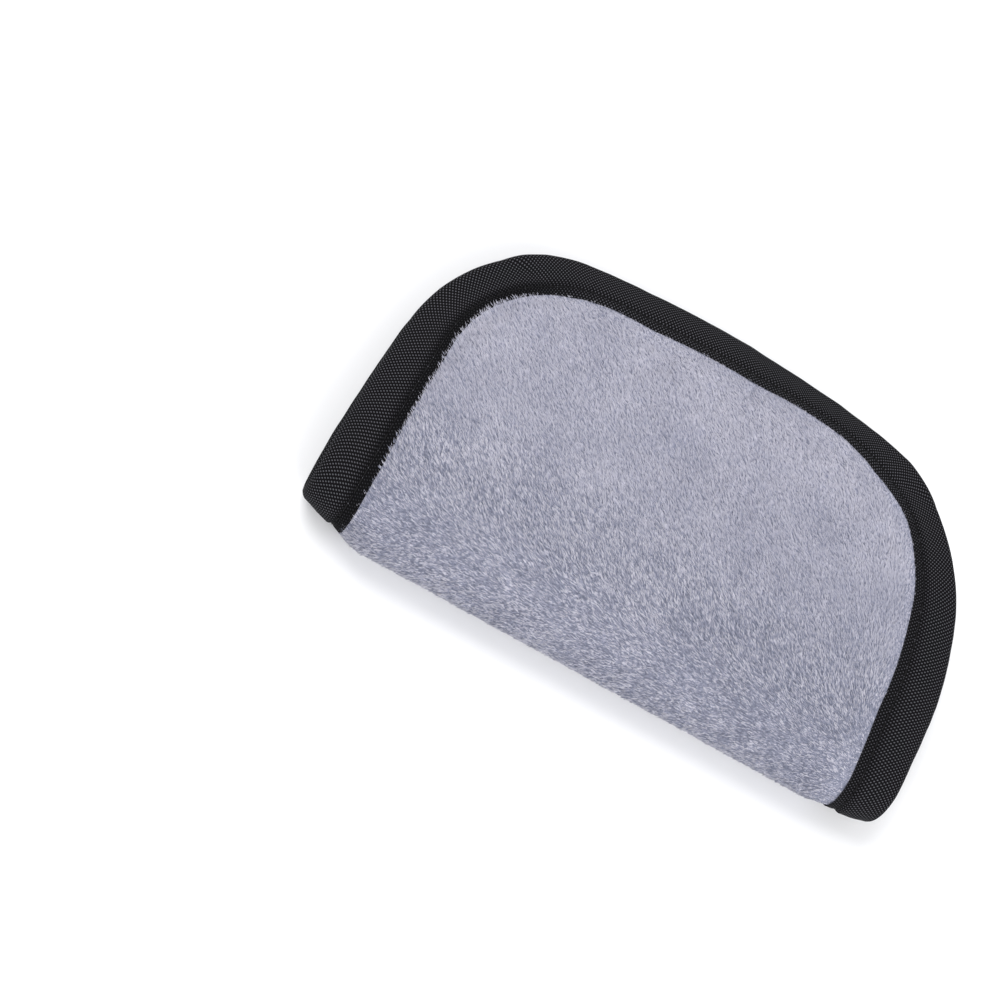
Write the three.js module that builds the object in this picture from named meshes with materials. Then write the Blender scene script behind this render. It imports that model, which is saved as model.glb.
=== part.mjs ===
// Seat belt shoulder pad: a padded blank folded lengthwise round the belt. Its edge is bound all round
// with a woven tape, and a hook strip and a loop strip inside the free edges hold it shut.
// It lies on one flap: X runs along the fold, the fold faces -Y and the free edges face +Y.

import * as THREE from 'three';

// Driving dimensions in millimetres: the folded pad
const padLength = 160;
const foldedDepth = 97;
const cornerRadius = 43;
const shortEdgeRadius = 420;
const freeEdgeRadius = 270;
const foldRadius = 4.2;

// The tape draws the fold in at both ends of the pad
const drawnIn = 4.0;
const drawnInLength = 26;
const drawnInDepth = 34;

// The three layers in the middle of a flap, and pressed flat under the tape
const liningThickness = 0.6;
const foamThickness = 2.2;
const plushThickness = 2.2;
const pressedLining = 0.4;
const pressedFoam = 0.5;
const pressedPlush = 0.5;
const layerGap = 0.3;
const loftWidth = 6.5;

// The woven tape round the edge, and the seam that holds it
const tapeThickness = 0.5;
const bindingWidth = 11.5;
const bindingSink = 1.0;
const seamFromLip = 2.4;
const threadRadius = 0.22;

// The two closing strips, each a backing with a raised field between plain margins
const stripLength = 80;
const stripWidth = 16;
const stripFromEdge = 14;
const stripBacking = 0.5;
const stripField = 0.6;
const stripMargin = 2.2;
const stripThreadRadius = 0.15;
const stripSeamInset = 1.1;

// How far the upper free edge hangs below its place on the strips
const edgeDroop = 3.3;

// Facets along a quarter of the outline, and round the small curves
const foldSteps = 5;
const sideSteps = 4;
const halfCornerSteps = 3;
const freeEdgeSteps = 3;
const rollSteps = 4;
const threadSides = 5;

// Heights are measured outward from the lining's inner face
const flapThickness = liningThickness + foamThickness + plushThickness + 2 * layerGap;
const outerFoldRadius = foldRadius + flapThickness;
const pressedThickness = pressedLining + pressedFoam + pressedPlush + 2 * layerGap;
const bindingThickness = pressedThickness + 2 * (tapeThickness + layerGap);
const bindingTop = flapThickness - bindingSink;
const bindingBottom = bindingTop - bindingThickness;
const rollRadius = bindingThickness / 2;
const rollCentre = bindingTop - rollRadius;
const seamAt = bindingWidth - seamFromLip;
const loftStart = bindingWidth + layerGap;
const fullLoftAt = bindingWidth + loftWidth;

// The flat blank: x along the fold, q across it, counted from the fold on the lining
const quarterFold = foldRadius * Math.PI / 2;
const flapReach = foldedDepth - outerFoldRadius;
const blankHalfWidth = quarterFold + flapReach;
const blankHalfLength = padLength / 2;

// The closing strips lie in the flat band between these distances from the fold's centre
const stripOuterY = flapReach - stripFromEdge;
const stripInnerY = stripOuterY - stripWidth;
const stripHeight = stripBacking + stripField;
const closedSpacing = 2 * stripHeight + 3 * layerGap;

const softStep = (t) => {
  const u = THREE.MathUtils.clamp(t, 0, 1);
  return u * u * (3 - 2 * u);
};

// The short edge, a corner and the free edge of the outline are three tangent arcs
function outlineArcs() {
  const shortEdge = { x: blankHalfLength - shortEdgeRadius, q: 0, radius: shortEdgeRadius };
  const freeEdge = { x: 0, q: blankHalfWidth - freeEdgeRadius, radius: freeEdgeRadius };
  const reachShort = shortEdgeRadius - cornerRadius;
  const reachFree = freeEdgeRadius - cornerRadius;
  const dx = freeEdge.x - shortEdge.x;
  const dq = freeEdge.q - shortEdge.q;
  const span = Math.hypot(dx, dq);
  const along = (reachShort ** 2 - reachFree ** 2 + span ** 2) / (2 * span);
  const across = Math.sqrt(reachShort ** 2 - along ** 2);
  const corner = {
    x: shortEdge.x + (along * dx - across * dq) / span,
    q: shortEdge.q + (along * dq + across * dx) / span,
    radius: cornerRadius,
  };
  corner.from = Math.atan2(corner.q - shortEdge.q, corner.x - shortEdge.x);
  corner.to = Math.atan2(corner.q - freeEdge.q, corner.x - freeEdge.x);
  return { shortEdge, corner, freeEdge };
}

const { shortEdge, corner, freeEdge } = outlineArcs();

// One quarter of the outline as arcs and angles, from the fold to the middle of the free edge
function outlineQuarter() {
  const foldAngle = Math.asin(quarterFold / shortEdgeRadius);
  const stops = [];
  const run = (arc, from, to, steps) => {
    for (let i = 0; i < steps; i++) {
      stops.push({ arc, angle: from + (to - from) * i / steps });
    }
  };
  run(shortEdge, 0, foldAngle, foldSteps);
  run(shortEdge, foldAngle, corner.from, sideSteps);
  run(corner, corner.from, corner.to, 2 * halfCornerSteps);
  run(freeEdge, corner.to, Math.PI / 2, freeEdgeSteps);
  return stops;
}

const quarter = outlineQuarter();
const freeEdgeMiddle = { arc: freeEdge, angle: Math.PI / 2 };
const quarterCount = quarter.length;
const outlineCount = 4 * quarterCount;
const sideRows = foldSteps + sideSteps + halfCornerSteps;
const freeColumns = halfCornerSteps + freeEdgeSteps;

// A point of the flat blank, a given distance in from the outline
function insetPoint(index, distance) {
  const turn = Math.floor(index / quarterCount);
  const step = index % quarterCount;
  const mirrored = turn % 2 === 1;
  const stop = mirrored ? quarter[quarterCount - step] ?? freeEdgeMiddle : quarter[step];
  const radius = stop.arc.radius - distance;
  const x = stop.arc.x + radius * Math.cos(stop.angle);
  const q = stop.arc.q + radius * Math.sin(stop.angle);
  return { x: turn === 1 || turn === 2 ? -x : x, q: turn >= 2 ? -q : q };
}

// How far the upper flap lies below the top of the fold
function upperDrop(y) {
  const closing = (2 * foldRadius - closedSpacing) * softStep(y / stripInnerY);
  const drooping = edgeDroop * softStep((y - stripOuterY) / (flapReach - stripOuterY));
  return closing + drooping;
}

// How far the tape pulls a point towards the free edges, y being counted from the fold's centre
function drawIn(x, y) {
  const endShare = softStep((Math.abs(x) - blankHalfLength + drawnInLength) / drawnInLength);
  return drawnIn * endShare * (1 - softStep(y / drawnInDepth));
}

// Bends the flat blank round the fold: height is counted outward from the lining
function bend({ x, q }, height) {
  const foldCentreZ = outerFoldRadius;
  if (Math.abs(q) <= quarterFold) {
    const angle = q / foldRadius;
    const radius = foldRadius + height;
    return [x, drawIn(x, 0) - radius * Math.cos(angle), foldCentreZ + radius * Math.sin(angle)];
  }
  const y = Math.abs(q) - quarterFold;
  if (q < 0) {
    return [x, y + drawIn(x, y), flapThickness - height];
  }
  const nudge = 0.01;
  const slope = (upperDrop(y + nudge) - upperDrop(y - nudge)) / (2 * nudge);
  const length = Math.hypot(1, slope);
  const z = foldCentreZ + foldRadius - upperDrop(y);
  return [x, y + drawIn(x, y) + height * slope / length, z + height / length];
}

function meshGeometry(points, faces) {
  const geometry = new THREE.BufferGeometry();
  geometry.setAttribute('position', new THREE.Float32BufferAttribute(points.flat(), 3));
  geometry.setIndex(faces.flat());
  geometry.computeVertexNormals();
  return geometry;
}

const quad = (a, b, c, d) => [a, b, c, a, c, d];

// A layer of the blank between two faces whose heights follow the distance from the outline
function layerGeometry(rings, innerHeight, outerHeight) {
  const points = [];
  const faces = [];
  const lastRing = rings.length - 1;
  const deepest = rings[lastRing];
  const gridCorner = insetPoint(sideRows, deepest);

  const innerGridPoint = (row, column) => {
    const side = insetPoint(Math.abs(row), deepest);
    const free = insetPoint(quarterCount - Math.abs(column), deepest);
    const bulge = Math.max(0, (side.q - quarterFold) / (gridCorner.q - quarterFold)) ** 2;
    const q = side.q + (free.q - gridCorner.q) * bulge;
    return { x: Math.sign(column) * free.x * side.x / gridCorner.x, q: Math.sign(row) * q };
  };

  const addFace = (heightAt, flip) => {
    const start = points.length;
    rings.forEach((distance) => {
      for (let i = 0; i < outlineCount; i++) {
        points.push(bend(insetPoint(i, distance), heightAt(distance)));
      }
    });
    const gridStart = points.length;
    const gridColumns = 2 * freeColumns - 1;
    for (let row = 1 - sideRows; row < sideRows; row++) {
      for (let column = 1 - freeColumns; column < freeColumns; column++) {
        points.push(bend(innerGridPoint(row, column), heightAt(deepest)));
      }
    }
    const ringIndex = (ring, i) => start + ring * outlineCount + (i + outlineCount) % outlineCount;
    const gridIndex = (row, column) => {
      if (column === freeColumns) return ringIndex(lastRing, row);
      if (column === -freeColumns) return ringIndex(lastRing, 2 * quarterCount - row);
      if (row === sideRows) return ringIndex(lastRing, quarterCount - column);
      if (row === -sideRows) return ringIndex(lastRing, 3 * quarterCount + column);
      return gridStart + (row + sideRows - 1) * gridColumns + column + freeColumns - 1;
    };
    const addQuad = (a, b, c, d) => faces.push(flip ? quad(a, d, c, b) : quad(a, b, c, d));
    for (let ring = 0; ring < lastRing; ring++) {
      for (let i = 0; i < outlineCount; i++) {
        addQuad(ringIndex(ring, i), ringIndex(ring, i + 1), ringIndex(ring + 1, i + 1), ringIndex(ring + 1, i));
      }
    }
    for (let row = -sideRows; row < sideRows; row++) {
      for (let column = -freeColumns; column < freeColumns; column++) {
        const near = [gridIndex(row, column), gridIndex(row, column + 1)];
        const far = [gridIndex(row + 1, column + 1), gridIndex(row + 1, column)];
        addQuad(...near, ...far);
      }
    }
    return ringIndex;
  };

  const outer = addFace(outerHeight, false);
  const inner = addFace(innerHeight, true);
  for (let i = 0; i < outlineCount; i++) {
    faces.push(quad(outer(0, i), inner(0, i), inner(0, i + 1), outer(0, i + 1)));
  }
  return meshGeometry(points, faces);
}

// A closed section, given as distances from the outline and heights, run once round the blank.
// Each quad is split from its outer to its inner corner, as the layers' quads are.
function edgeSweepGeometry(section) {
  const points = [];
  const faces = [];
  const count = section.length;
  for (let i = 0; i < outlineCount; i++) {
    section.forEach(([distance, height]) => points.push(bend(insetPoint(i, distance), height)));
  }
  for (let i = 0; i < outlineCount; i++) {
    const next = (i + 1) % outlineCount;
    for (let j = 0; j < count; j++) {
      const k = (j + 1) % count;
      const around = [i * count + j, i * count + k, next * count + k, next * count + j];
      const inward = section[j][0] <= section[k][0];
      faces.push(inward ? quad(...around) : quad(...around.slice(1), around[0]));
    }
  }
  return meshGeometry(points, faces);
}

// From a pressed height under the tape to the full height of the padded middle
function loft(pressed, full) {
  return (distance) => {
    const share = softStep((distance - loftStart) / (fullLoftAt - loftStart));
    return pressed + (full - pressed) * share;
  };
}

const loftRings = (steps) => {
  const rings = [rollRadius, seamAt];
  for (let i = 0; i <= steps; i++) {
    rings.push(loftStart + (fullLoftAt - loftStart) * i / steps);
  }
  return rings;
};

const pressedBase = bindingBottom + tapeThickness + layerGap;

function liningGeometry() {
  const inner = loft(pressedBase, 0);
  const outer = loft(pressedBase + pressedLining, liningThickness);
  return layerGeometry(loftRings(2), inner, outer);
}

function foamGeometry() {
  const pressedInner = pressedBase + pressedLining + layerGap;
  const fullInner = liningThickness + layerGap;
  const inner = loft(pressedInner, fullInner);
  const outer = loft(pressedInner + pressedFoam, fullInner + foamThickness);
  return layerGeometry(loftRings(2), inner, outer);
}

function plushGeometry() {
  const pressedOuter = bindingTop - tapeThickness - layerGap;
  const inner = loft(pressedOuter - pressedPlush, flapThickness - plushThickness);
  const outer = loft(pressedOuter, flapThickness);
  return layerGeometry(loftRings(3), inner, outer);
}

// The tape's section: in over the top, out round the rolled edge and back under, then inside again
function bindingGeometry() {
  const section = [];
  const side = (radius) => {
    const arc = [[bindingWidth, rollCentre + radius], [seamAt, rollCentre + radius]];
    for (let i = 0; i <= rollSteps; i++) {
      const angle = Math.PI * i / rollSteps;
      arc.push([rollRadius - radius * Math.sin(angle), rollCentre + radius * Math.cos(angle)]);
    }
    arc.push([seamAt, rollCentre - radius], [bindingWidth, rollCentre - radius]);
    return arc;
  };
  section.push(...side(rollRadius), ...side(rollRadius - tapeThickness).reverse());
  return edgeSweepGeometry(section);
}

// A closed tube's section, as distances across and heights
function threadSection(radius) {
  const section = [];
  for (let i = 0; i < threadSides; i++) {
    const angle = 2 * Math.PI * i / threadSides;
    section.push([-radius * Math.sin(angle), radius * Math.cos(angle)]);
  }
  return section;
}

// The seam's thread runs all round on the tape, at the given height on one face of the flap
function bindingThreadGeometry(height) {
  const section = threadSection(threadRadius).map(([across, up]) => [seamAt + across, height + up]);
  return edgeSweepGeometry(section);
}

// A ring of rectangles, each given by how far it stands out from a base rectangle and its height
function rectangleRing(halfLength, halfWidth, section) {
  const corners = [[1, 1], [-1, 1], [-1, -1], [1, -1]];
  return corners.flatMap(([signX, signY]) => section.map(([out, height]) => {
    return [signX * (halfLength + out), signY * (halfWidth + out), height];
  }));
}

// A closing strip: a thin backing with the field raised inside a plain margin
function stripGeometry() {
  const section = [[0, 0], [0, stripBacking], [-stripMargin, stripBacking], [-stripMargin, stripHeight]];
  const points = rectangleRing(stripLength / 2, stripWidth / 2, section);
  const count = section.length;
  const last = count - 1;
  const faces = [quad(3 * count, 2 * count, count, 0)];
  faces.push(quad(last, count + last, 2 * count + last, 3 * count + last));
  for (let i = 0; i < 4; i++) {
    const next = (i + 1) % 4;
    for (let j = 0; j < last; j++) {
      faces.push(quad(i * count + j, next * count + j, next * count + j + 1, i * count + j + 1));
    }
  }
  return meshGeometry(points, faces);
}

// The seam that holds a strip to the lining runs round its margin
function stripThreadGeometry() {
  const height = stripBacking + layerGap + stripThreadRadius;
  const section = threadSection(stripThreadRadius).map(([across, up]) => [-stripSeamInset - across, height + up]);
  const points = rectangleRing(stripLength / 2, stripWidth / 2, section);
  const faces = [];
  for (let i = 0; i < 4; i++) {
    const next = (i + 1) % 4;
    for (let j = 0; j < threadSides; j++) {
      const k = (j + 1) % threadSides;
      const near = [i * threadSides + j, i * threadSides + k];
      const far = [next * threadSides + k, next * threadSides + j];
      faces.push(quad(...near, ...far));
    }
  }
  return meshGeometry(points, faces);
}

const plushGrey = 0xa9aec0;
const tapeBlack = 0x1b1b1e;
const foamWhite = 0xe4e2da;
const liningBlack = 0x232327;
const threadBlack = 0x141416;

function addMesh(parent, name, geometry, color, roughness) {
  const mesh = new THREE.Mesh(geometry, new THREE.MeshStandardMaterial({ color, roughness, metalness: 0 }));
  mesh.name = name;
  parent.add(mesh);
}

const pad = new THREE.Group();
pad.position.y = (outerFoldRadius - flapReach) / 2;
addMesh(pad, 'plush_cover', plushGeometry(), plushGrey, 0.95);
addMesh(pad, 'foam_core', foamGeometry(), foamWhite, 0.9);
addMesh(pad, 'inner_lining', liningGeometry(), liningBlack, 0.9);
addMesh(pad, 'edge_binding', bindingGeometry(), tapeBlack, 0.75);
const threadLift = layerGap + threadRadius;
addMesh(pad, 'binding_needle_thread', bindingThreadGeometry(bindingTop + threadLift), threadBlack, 0.6);
addMesh(pad, 'binding_bobbin_thread', bindingThreadGeometry(bindingBottom - threadLift), threadBlack, 0.6);

// The hook strip lies field up on the lower flap, and the loop strip field down under the upper flap
const stripMiddleY = stripInnerY + stripWidth / 2;
const hookSide = new THREE.Group();
hookSide.position.set(0, stripMiddleY, flapThickness + layerGap);
addMesh(hookSide, 'hook_strip', stripGeometry(), tapeBlack, 0.55);
addMesh(hookSide, 'hook_strip_thread', stripThreadGeometry(), threadBlack, 0.6);
const loopSide = new THREE.Group();
loopSide.position.set(0, stripMiddleY, flapThickness + closedSpacing - layerGap);
loopSide.rotation.x = Math.PI;
addMesh(loopSide, 'loop_strip', stripGeometry(), tapeBlack, 0.9);
addMesh(loopSide, 'loop_strip_thread', stripThreadGeometry(), threadBlack, 0.6);
pad.add(hookSide, loopSide);

export default pad;
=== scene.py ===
import bmesh
import bpy
import math
import numpy as np
from mathutils import Matrix, Vector, noise

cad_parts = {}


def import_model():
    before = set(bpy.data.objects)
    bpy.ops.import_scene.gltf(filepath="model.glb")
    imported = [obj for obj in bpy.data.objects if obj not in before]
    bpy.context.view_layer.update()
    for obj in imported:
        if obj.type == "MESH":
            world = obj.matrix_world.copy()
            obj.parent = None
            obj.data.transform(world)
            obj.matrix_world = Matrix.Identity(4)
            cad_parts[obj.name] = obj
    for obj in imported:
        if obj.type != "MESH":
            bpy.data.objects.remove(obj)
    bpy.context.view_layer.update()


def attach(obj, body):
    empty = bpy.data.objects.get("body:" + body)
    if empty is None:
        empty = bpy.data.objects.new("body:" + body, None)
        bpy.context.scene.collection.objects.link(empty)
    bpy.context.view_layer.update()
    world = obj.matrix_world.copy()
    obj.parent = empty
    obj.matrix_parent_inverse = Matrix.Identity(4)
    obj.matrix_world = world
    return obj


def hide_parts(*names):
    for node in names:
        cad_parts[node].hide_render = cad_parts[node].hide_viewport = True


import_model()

scene = bpy.context.scene
mm = 0.001

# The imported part, repeated in millimetres: a flat blank is bent round a fold along X
part = {
    "length": 160.0,
    "depth": 97.0,
    "cornerRadius": 43.0,
    "shortEdgeRadius": 420.0,
    "freeEdgeRadius": 270.0,
    "foldRadius": 4.2,
    "flapThickness": 5.6,
    "drawnInLeft": 5.4,
    "drawnInRight": 2.15,
    "drawnInLengthLeft": 18.5,
    "drawnInLengthRight": 15.0,
    "drawnInDepth": 34.0,
    "closedSpacing": 3.1,
    "edgeDroop": 3.3,
    "stripFromEdge": 14.0,
    "stripWidth": 16.0,
    "loftStart": 11.8,
    "loftEnd": 18.0,
}
foldRadius = part["foldRadius"]
foldCentreZ = foldRadius + part["flapThickness"]
quarterFold = foldRadius * math.pi / 2
flapReach = part["depth"] - foldCentreZ
halfWidth = quarterFold + flapReach
halfLength = part["length"] / 2
stripOuterY = flapReach - part["stripFromEdge"]
stripInnerY = stripOuterY - part["stripWidth"]
shiftY = (foldCentreZ - flapReach) / 2


def softStep(t):
    t = min(max(t, 0.0), 1.0)
    return t * t * (3 - 2 * t)


def mix(a, b, t):
    return a + (b - a) * t


# Shares from 0 to 1: past a start, before an end, or round a middle
def rising(at, start, width):
    return softStep((at - start) / width)


def falling(at, end, width):
    return softStep((end - at) / width)


def hill(at, middle, width, top=1.0):
    return softStep(top - abs(at - middle) / width)


def bell(at, middle, width):
    return math.exp(-((at - middle) / width) ** 2)


# Outline of the blank: short edge, corner and free edge are three tangent arcs
def outlineArcs():
    radii = [part[name] for name in ("shortEdgeRadius", "cornerRadius", "freeEdgeRadius")]
    shortRadius, cornerRadius, freeRadius = radii
    shortCentre = Vector((halfLength - shortRadius, 0.0))
    freeCentre = Vector((0.0, halfWidth - freeRadius))
    reachShort = shortRadius - cornerRadius
    reachFree = freeRadius - cornerRadius
    gap = freeCentre - shortCentre
    span = gap.length
    along = (reachShort ** 2 - reachFree ** 2 + span ** 2) / (2 * span)
    across = math.sqrt(reachShort ** 2 - along ** 2)
    cornerCentre = shortCentre + (gap * along + Vector((-gap.y, gap.x)) * across) / span
    startAngle = math.atan2(cornerCentre.y - shortCentre.y, cornerCentre.x - shortCentre.x)
    endAngle = math.atan2(cornerCentre.y - freeCentre.y, cornerCentre.x - freeCentre.x)
    return [
        (shortCentre, shortRadius, 0.0, startAngle),
        (cornerCentre, cornerRadius, startAngle, endAngle),
        (freeCentre, freeRadius, endAngle, math.pi / 2),
    ]


arcs = outlineArcs()
arcLengths = [radius * (end - start) for _, radius, start, end in arcs]
quarterLength = sum(arcLengths)
outlineLength = 4 * quarterLength
cornerMiddle = arcLengths[0] + arcLengths[1] / 2


# A point of the blank by its distance along the outline, from the middle of the right edge,
# and its distance in from it
def blankPoint(along, inset=0.0):
    along %= outlineLength
    turn = int(along // quarterLength)
    rest = along - turn * quarterLength
    if turn % 2:
        rest = quarterLength - rest
    for (centre, radius, start, end), length in zip(arcs, arcLengths):
        if rest <= length or radius == part["freeEdgeRadius"]:
            angle = start + rest / radius
            break
        rest -= length
    x = centre.x + (radius - inset) * math.cos(angle)
    q = centre.y + (radius - inset) * math.sin(angle)
    return (-x if turn in (1, 2) else x, -q if turn >= 2 else q)


def upperDrop(y):
    closing = (2 * foldRadius - part["closedSpacing"]) * softStep(y / stripInnerY)
    drooping = part["edgeDroop"] * softStep((y - stripOuterY) / (flapReach - stripOuterY))
    return closing + drooping


# The tape draws the ends of the fold in, the left one more
def drawIn(x, y):
    side = "Left" if x < 0 else "Right"
    length = part["drawnInLength" + side]
    share = softStep((abs(x) - halfLength + length) / length)
    depth = part["drawnIn" + side]
    return depth * share * (1 - softStep(y / part["drawnInDepth"]))


def mottle(x, y, layer, size=1.0):
    return noise.noise(Vector((x, y, layer)) / size)


# The real pad isn't quite even: its right end is rounder, and its free edge a little fuller.
# Swellings: how much, where the middle lies, and how wide.
unevenness = {
    "rightBelly": (2.3, 46, 21),
    "rightAtFold": (0.8, 0, 13),
    "rightShoulder": (0.7, 30, 14),
    "rightCorner": (1.0, 84, 12),
    "leftEnd": 0.4,
    "freeMiddle": (0.8, -8, 32),
    "freeDip": (0.7, 43, 11),
    "freeBand": (40, 50),
}


def swelling(name, at):
    amount, middle, width = unevenness[name]
    return amount * bell(at, middle, width)


def uneven(x, q):
    right = softStep(x / halfLength) ** 2
    left = softStep(-x / halfLength) ** 2
    rounder = swelling("rightBelly", abs(q)) - swelling("rightAtFold", q)
    rounder += swelling("rightShoulder", abs(q)) - swelling("rightCorner", abs(q))
    fuller = swelling("freeMiddle", x) - swelling("freeDip", x)
    fuller *= rising(abs(q), *unevenness["freeBand"]) * math.copysign(1, q)
    return x + right * rounder + unevenness["leftEnd"] * left, q + fuller


# The plush crowds over the tape along the free edge, and shows more of it near the fold.
# Shifts: distance along the upper outline, and how far out the tape's inner edge lies there.
# Bands: how far in from the pad's edge that is felt.
crowding = {
    "shifts": [
        (-16, 0.0), (0, -0.9), (24, -1.8), (56, -0.5), (70, 0.4), (84, 1.9),
        (100, 2.1), (115, 3.0), (130, 2.2), (142, 0.9), (172, 0.5), (184, 1.5),
        (206, 1.4), (228, 0.9), (254, -0.7), (284, -1.1), (298, -0.8), (314, 0.0),
    ],
    "startBand": (2, 9.6),
    "endBand": (20, 7),
}


def crowded(along, inset):
    along %= outlineLength
    if along > 3 * quarterLength:
        along -= outlineLength
    shift = float(np.interp(along, *zip(*crowding["shifts"])))
    felt = min(rising(inset, *crowding["startBand"]), falling(inset, *crowding["endBand"]))
    return inset - shift * felt


# Bends a point of the blank round the fold. Height is counted outward from the lining.
def place(x, q, height):
    x, q = uneven(x, q)
    if abs(q) <= quarterFold:
        angle = q / foldRadius
        radius = foldRadius + height
        y = drawIn(x, 0) - radius * math.cos(angle)
        z = foldCentreZ + radius * math.sin(angle)
    elif q < 0:
        y = -q - quarterFold
        y += drawIn(x, y)
        z = part["flapThickness"] - height
    else:
        y = q - quarterFold
        nudge = 0.01
        slope = (upperDrop(y + nudge) - upperDrop(y - nudge)) / (2 * nudge)
        size = math.hypot(1, slope)
        z = foldCentreZ + foldRadius - upperDrop(y) + height / size
        y += drawIn(x, y) + height * slope / size
    return Vector((x, y + shiftY, z)) * mm


def outward(x, q):
    return (place(x, q, 1) - place(x, q, 0)).normalized()


def loft(pressed, full):
    def height(inset):
        start, end = part["loftStart"], part["loftEnd"]
        return mix(pressed, full, softStep((inset - start) / (end - start)))
    return height


def faceOutward(bm):
    bmesh.ops.recalc_face_normals(bm, faces=bm.faces)


def evaluated(thing):
    return thing.evaluated_get(bpy.context.evaluated_depsgraph_get())


def addObject(name, mesh):
    thing = bpy.data.objects.new(name, mesh)
    scene.collection.objects.link(thing)
    return thing


def addMesh(bm, name, smooth=True):
    mesh = bpy.data.meshes.new(name)
    bm.to_mesh(mesh)
    bm.free()
    if smooth:
        mesh.shade_smooth()
    return addObject(name, mesh)


# Value wraps a socket, so value maths is written as expressions
class Value:
    def __init__(self, kit, socket):
        self.kit = kit
        self.socket = socket

    def sibling(self, output):  # another output of the same node
        return Value(self.kit, self.socket.node.outputs[output])

    def maths(self, operation, *others, swap=False):
        inputs = [self, *others]
        if swap:
            inputs.reverse()
        return self.kit.node("ShaderNodeMath", {"operation": operation}, dict(enumerate(inputs)))

    __add__ = __radd__ = lambda self, other: self.maths("ADD", other)
    __mul__ = __rmul__ = lambda self, other: self.maths("MULTIPLY", other)
    __sub__ = lambda self, other: self.maths("SUBTRACT", other)
    __rsub__ = lambda self, other: self.maths("SUBTRACT", other, swap=True)
    __truediv__ = lambda self, other: self.maths("DIVIDE", other)
    __rtruediv__ = lambda self, other: self.maths("DIVIDE", other, swap=True)
    __pow__ = lambda self, other: self.maths("POWER", other)
    __rpow__ = lambda self, other: self.maths("POWER", other, swap=True)

    def sine(self):
        return self.maths("SINE")

    def absolute(self):
        return self.maths("ABSOLUTE")

    def largest(self, other):
        return self.maths("MAXIMUM", other)


# Makes nodes from their type, their settings, and the values or links of their sockets
class Nodes:
    def __init__(self, tree):
        self.tree = tree

    def node(self, kind, settings=None, sockets=None, output=0):
        made = self.tree.nodes.new(kind)
        for key, value in (settings or {}).items():
            if key == "ramp":
                self.fillRamp(made.color_ramp, value)
            else:
                setattr(made, key, value)
        for key, value in (sockets or {}).items():
            self.feed(made.inputs[key], value)
        return Value(self, made.outputs[output]) if made.outputs else None

    def feed(self, socket, value):
        if isinstance(value, Value):
            self.tree.links.new(value.socket, socket)
        else:
            socket.default_value = value

    def fillRamp(self, ramp, stops):
        while len(ramp.elements) > 1:
            ramp.elements.remove(ramp.elements[-1])
        for index, (position, stopColour) in enumerate(stops):
            stop = ramp.elements[0] if index == 0 else ramp.elements.new(position)
            stop.position = position
            stop.color = stopColour

    def parts(self, vector):
        made = self.node("ShaderNodeSeparateXYZ", {}, {0: vector})
        return [made.sibling(axis) for axis in "XYZ"]


class Finish(Nodes):
    def __init__(self, name):
        self.name = name
        self.material = bpy.data.materials.new(name)
        self.material.use_nodes = True
        super().__init__(self.material.node_tree)
        self.shader = self.tree.nodes["Principled BSDF"]

    def ramp(self, value, *stops):
        coloured = [(position, colour(*levels)) for position, *levels in stops]
        return self.node("ShaderNodeValToRGB", {"ramp": coloured}, {0: value})

    def objectPlace(self):
        return self.node("ShaderNodeTexCoord", output="Object")

    def pieceMap(self):
        return self.node("ShaderNodeUVMap", {"uv_map": "OFBake"})

    def noise(self, scale, detail=2.0, roughness=0.5):
        sockets = {"Scale": scale, "Detail": detail, "Roughness": roughness}
        sockets["Vector"] = self.objectPlace()
        return self.node("ShaderNodeTexNoise", {}, sockets, output="Fac")

    def bump(self, height, strength, distance):
        sockets = {"Height": height, "Strength": strength, "Distance": distance}
        self.set(Normal=self.node("ShaderNodeBump", {}, sockets, output="Normal"))

    def set(self, **values):
        for key, value in values.items():
            self.feed(self.shader.inputs[key.replace("_", " ")], value)


# sRGB levels up to 255, as a picture shows them, made linear
def colour(*levels):
    shares = [level / 255 for level in levels]
    linear = [s / 12.92 if s <= 0.04045 else ((s + 0.055) / 1.055) ** 2.4 for s in shares]
    return (*linear, 1.0)


# Camera: a fit of the outline, the binding's inner edge and the fold to the photograph
camera = {
    "azimuth": -22.72,
    "elevation": 68.13,
    "roll": 50.376,
    "distance": 600.0,
    "focalPixels": 2491.0,
    "right": -21.283,
    "up": 36.401,
    "imageWidth": 1001,
}


def addCamera():
    turns = [math.radians(camera[name]) for name in ("azimuth", "elevation", "roll")]
    azimuth, elevation, roll = turns
    back = Vector((math.sin(azimuth) * math.cos(elevation),
                   -math.cos(azimuth) * math.cos(elevation), math.sin(elevation)))
    level = Vector((math.cos(azimuth), math.sin(azimuth), 0.0))
    upright = back.cross(level)
    right = level * math.cos(roll) + upright * math.sin(roll)
    up = upright * math.cos(roll) - level * math.sin(roll)
    spot = back * camera["distance"] + right * camera["right"] + up * camera["up"]
    data = bpy.data.cameras.new("photographAngle")
    data.lens = camera["focalPixels"] * data.sensor_width / camera["imageWidth"]
    data.clip_start = 0.01
    thing = addObject("photographAngle", data)
    turned = Matrix((right, up, back)).transposed().to_4x4()
    thing.matrix_world = Matrix.Translation((spot + Vector((0, shiftY, 0))) * mm) @ turned
    scene.camera = thing


addCamera()
print("camera placed")

# The flat blank as a sheet: a grid for the middle, and rings pulled out of its edge
sheet = {
    "columns": 72,
    "rows": 88,
    "middleInset": 21.0,
    "plushRings": [19.0, 17.4, 16.0, 14.8, 13.7, 12.8, 12.1, 11.4, 9.6],
    "layerRings": [18.0, 15.0, 11.8, 9.1, 4.0, 2.0],
}


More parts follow.
